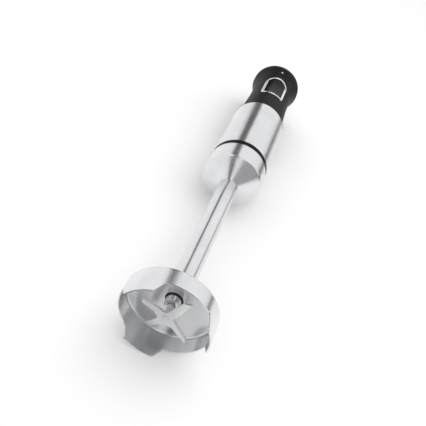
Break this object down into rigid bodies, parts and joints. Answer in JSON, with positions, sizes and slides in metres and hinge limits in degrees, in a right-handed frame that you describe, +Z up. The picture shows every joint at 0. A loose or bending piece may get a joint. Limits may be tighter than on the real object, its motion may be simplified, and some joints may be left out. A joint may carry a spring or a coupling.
{
  "type": "immersion blender",
  "caption": "Hand blender with a steel bell, shaft tube and motor sleeve, black flared grip, D-shaped push button, speed dial and a twist-lock blending foot.",
  "frame": {"origin": "bottom centre of the object's box, lying on its back with the power button up", "axes": "+Y along the tool from the bell to the speed dial, +Z up on the power button's side, +X to the side; the tool's axis is level at the bell's radius"},
  "size_m": [0.0745, 0.4318, 0.0745],
  "materials": {
    "brushed_steel": "brushed along the tool",
    "polished_steel": "fine satin polish",
    "blade_steel": "ground",
    "soft_grip": "soft-touch satin",
    "black_plastic": "moulded satin",
    "gloss_black": "gloss",
    "chrome_band": "bright chrome plating",
    "index_print": "pale print",
    "black_rubber": "matte",
    "bush_bronze": "sintered",
    "guide_plastic": "moulded",
    "shaft_steel": "ground",
    "coupling_plastic": "moulded",
    "lamination": "stacked sheets",
    "copper": "enamelled wire",
    "frame_plastic": "moulded",
    "holder_brass": "stamped",
    "carbon": "pressed carbon",
    "spring_steel": "drawn wire",
    "plunger_red": "moulded",
    "board_green": "solder mask",
    "component_plastic": "potted",
    "choke_core": "ferrite",
    "triac_plastic": "moulded",
    "sink_aluminium": "extruded"
  },
  "bodies": {
    "handle": {"motor_housing": "brushed_steel", "housing_flange": "black_plastic", "lock_collar": "black_plastic", "motor_frame": "frame_plastic", "lower_bearing": "shaft_steel", "stator_core": "lamination", "field_coils": "copper", "mount_rings": "black_rubber", "motor_screws": "shaft_steel", "rear_bracket": "frame_plastic", "upper_bearing": "shaft_steel", "brush_holders": "holder_brass", "carbon_brushes": "carbon", "brush_springs": "spring_steel", "button_bezel": "chrome_band", "switch_carrier": "frame_plastic", "micro_switch": "frame_plastic", "button_spring": "spring_steel", "circuit_board": "board_green", "capacitor": "component_plastic", "choke": "choke_core", "triac": "triac_plastic", "heat_sink": "sink_aluminium", "index_mark": "index_print", "grip_screws": "shaft_steel", "top_bulkhead": "black_plastic", "end_cap": "black_plastic", "track_board": "board_green", "cord_gland": "black_rubber", "grip_front": "soft_grip", "grip_rear": "soft_grip"},
    "foot": {"bell_guard": "polished_steel", "foot_tube": "brushed_steel", "foot_shroud": "brushed_steel", "foot_liner": "black_plastic", "spigot_o_ring": "black_rubber", "shaft_seal": "black_rubber", "lip_seal": "black_rubber", "seal_sleeve": "polished_steel", "lower_bush": "bush_bronze", "shaft_guide": "guide_plastic", "upper_bush": "bush_bronze"},
    "drive": {"blade": "blade_steel", "blade_washer": "blade_steel", "blade_shaft": "blade_steel", "foot_coupling": "guide_plastic", "motor_coupling": "coupling_plastic", "motor_shaft": "shaft_steel", "armature_core": "lamination", "armature_windings": "copper", "commutator": "copper", "cooling_fan": "coupling_plastic"},
    "button": {"power_button": "gloss_black", "switch_plunger": "plunger_red"},
    "dial": {"speed_dial": "black_plastic", "wiper_ring": "holder_brass"}
  },
  "joints": [
    {"name": "foot_twist", "type": "hinge", "parent": "handle", "child": "foot", "pos_m": [0, 0.00415, 0.03725], "axis": [0, 1, 0], "range_deg": [0, 30]},
    {"name": "drive_spin", "type": "hinge", "parent": "handle", "child": "drive", "pos_m": [0, 0.00415, 0.03725], "axis": [0, 1, 0], "continuous": true},
    {"name": "button_press", "type": "slide", "parent": "handle", "child": "button", "axis": [0, 0, -1], "range_m": [0, 0.002], "stiffness_N_per_m": 1200, "springref_m": -0.001, "deforming": ["button_spring"]},
    {"name": "dial_turn", "type": "hinge", "parent": "handle", "child": "dial", "pos_m": [0, 0.2091, 0.03725], "axis": [0, 1, 0], "range_deg": [0, 270]}
  ]
}
